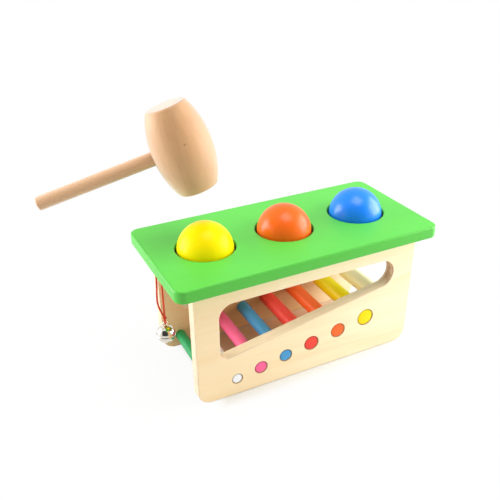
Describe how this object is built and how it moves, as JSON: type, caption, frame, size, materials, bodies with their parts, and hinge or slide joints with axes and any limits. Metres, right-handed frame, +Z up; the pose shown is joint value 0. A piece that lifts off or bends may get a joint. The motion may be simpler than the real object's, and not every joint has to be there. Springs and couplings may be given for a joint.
{
  "type": "pounding bench toy",
  "caption": "Child's pounding bench: balls are knocked with a mallet through holes in a painted board on to a sloping track of rods between two windowed side panels, with a bell at the low end.",
  "frame": {"origin": "on the ground, under the middle of the bench's length and width", "axes": "+X along the bench to the high end of its track, +Y to the back, +Z up"},
  "size_m": [0.2989, 0.112, 0.2271],
  "materials": {
    "green_paint": "green paint, satin",
    "panel_wood": "clear lacquer over pale solid wood, satin",
    "green_rod_paint": "dark green paint, satin",
    "white_paint": "white paint, satin",
    "pink_paint": "pink paint, satin",
    "blue_rod_paint": "blue paint, satin",
    "red_paint": "red paint, satin",
    "orange_rod_paint": "orange paint, satin",
    "yellow_rod_paint": "yellow paint, satin",
    "cream_paint": "cream paint, satin",
    "yellow_lacquer": "yellow lacquer, semi-gloss",
    "orange_lacquer": "orange lacquer, semi-gloss",
    "blue_lacquer": "blue lacquer, semi-gloss",
    "ring_rubber": "black rubber, matte",
    "dowel_wood": "bare beech",
    "cord_red": "red twisted cord",
    "bell_nickel": "bright nickel plate",
    "pellet_steel": "plain steel",
    "mallet_wood": "bare beech, sanded"
  },
  "bodies": {
    "bench": {"top_board": "green_paint", "front_panel": "panel_wood", "back_panel": "panel_wood", "green_rod": "green_rod_paint", "white_rod": "white_paint", "pink_rod": "pink_paint", "blue_rod": "blue_rod_paint", "red_rod": "red_paint", "orange_rod": "orange_rod_paint", "yellow_rod": "yellow_rod_paint", "cream_rod": "cream_paint", "yellow_ball_ring": "ring_rubber", "orange_ball_ring": "ring_rubber", "blue_ball_ring": "ring_rubber", "front_dowels": "dowel_wood", "back_dowels": "dowel_wood", "cord_plugs": "dowel_wood"},
    "yellow_ball": {"yellow_ball": "yellow_lacquer"},
    "orange_ball": {"orange_ball": "orange_lacquer"},
    "blue_ball": {"blue_ball": "blue_lacquer"},
    "bell_cord": {"cord_strand_front": "cord_red", "cord_strand_back": "cord_red", "cord_knot": "cord_red"},
    "bell": {"bell_cap": "bell_nickel", "bell_cup": "bell_nickel"},
    "bell_pellet": {"bell_pellet": "pellet_steel"},
    "mallet": {"mallet_head": "mallet_wood", "mallet_handle": "mallet_wood"}
  },
  "joints": [
    {"name": "yellow_ball_drop", "type": "slide", "parent": "bench", "child": "yellow_ball", "axis": [0, 0, -1], "range_m": [0, 0.0694]},
    {"name": "orange_ball_drop", "type": "slide", "parent": "bench", "child": "orange_ball", "axis": [0, 0, -1], "range_m": [0, 0.0554]},
    {"name": "blue_ball_drop", "type": "slide", "parent": "bench", "child": "blue_ball", "axis": [0, 0, -1], "range_m": [0, 0.0426]},
    {"name": "bell_cord_swing", "type": "hinge", "parent": "bench", "child": "bell_cord", "pos_m": [-0.107, 0.0025, 0.1046], "axis": [0, 1, 0], "range_deg": [-5, 55]},
    {"name": "bell_swing", "type": "hinge", "parent": "bell_cord", "child": "bell", "pos_m": [-0.107, 0.0025, 0.05215], "axis": [0, 1, 0], "range_deg": [-40, 40]},
    {"name": "pellet_rattle", "type": "slide", "parent": "bell", "child": "bell_pellet", "axis": [0, 0, 1], "range_m": [0, 0.0085]},
    {"name": "mallet_strike", "type": "slide", "parent": "bench", "child": "mallet", "axis": [0.2724, -0.1864, -0.944], "range_m": [-0.03, 0.0232]}
  ]
}
